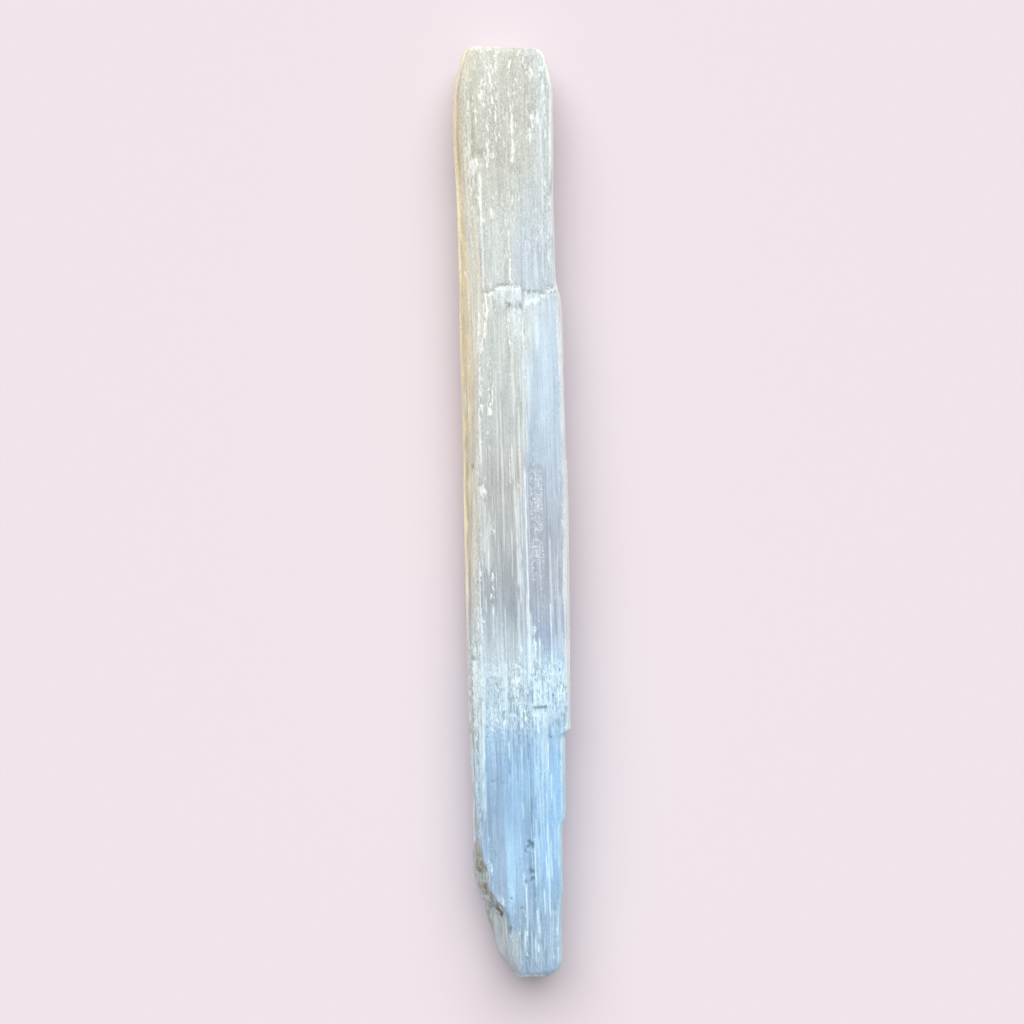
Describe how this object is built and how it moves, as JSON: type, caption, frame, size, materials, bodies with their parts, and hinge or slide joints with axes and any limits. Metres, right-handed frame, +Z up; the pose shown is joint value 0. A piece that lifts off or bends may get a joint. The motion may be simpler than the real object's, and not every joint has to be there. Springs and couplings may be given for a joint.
{
  "type": "selenite stick",
  "caption": "Raw stick of fibrous gypsum with a squarish section, long splintery ridges, a raised slab of fibres, a broken corner and rounded ends; lies flat on its underside.",
  "frame": {"origin": "middle of the stick's footprint, on the surface that it lies on", "axes": "+Y along the fibres towards the squarer end, +Z up from the flat underside, +X across towards the side with the raised slab"},
  "size_m": [0.0228, 0.2, 0.016],
  "materials": {
    "selenite": "silky, milky and slightly translucent, with fine fibres along the length"
  },
  "bodies": {
    "root": {"selenite_stick": "selenite"}
  },
  "joints": []
}
